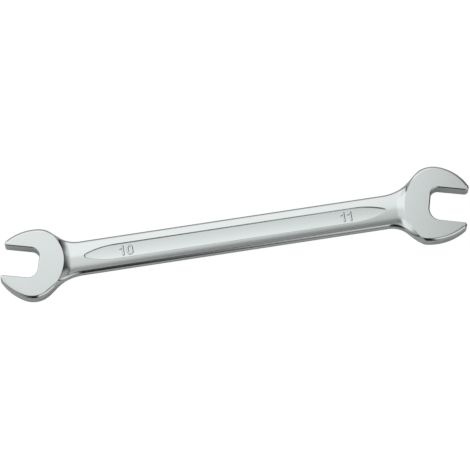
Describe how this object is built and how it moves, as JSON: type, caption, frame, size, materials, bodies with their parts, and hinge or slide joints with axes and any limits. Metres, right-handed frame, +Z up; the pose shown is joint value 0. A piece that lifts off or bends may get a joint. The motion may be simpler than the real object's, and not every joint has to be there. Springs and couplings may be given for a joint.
{
  "type": "open end wrench",
  "caption": "Double open end wrench in satin chrome, with a jaw of a different size at each end, both at an angle to a crowned shank with a sunk panel on each side.",
  "frame": {"origin": "on the surface that the wrench lies on, half way between the two ends and on the centre line of the shank", "axes": "+X along the shank towards the 11 mm jaw, +Z up out of the head faces"},
  "size_m": [0.155, 0.026, 0.005],
  "materials": {
    "satin_chrome": "satin"
  },
  "bodies": {
    "root": {"wrench_forging": "satin_chrome"}
  },
  "joints": []
}
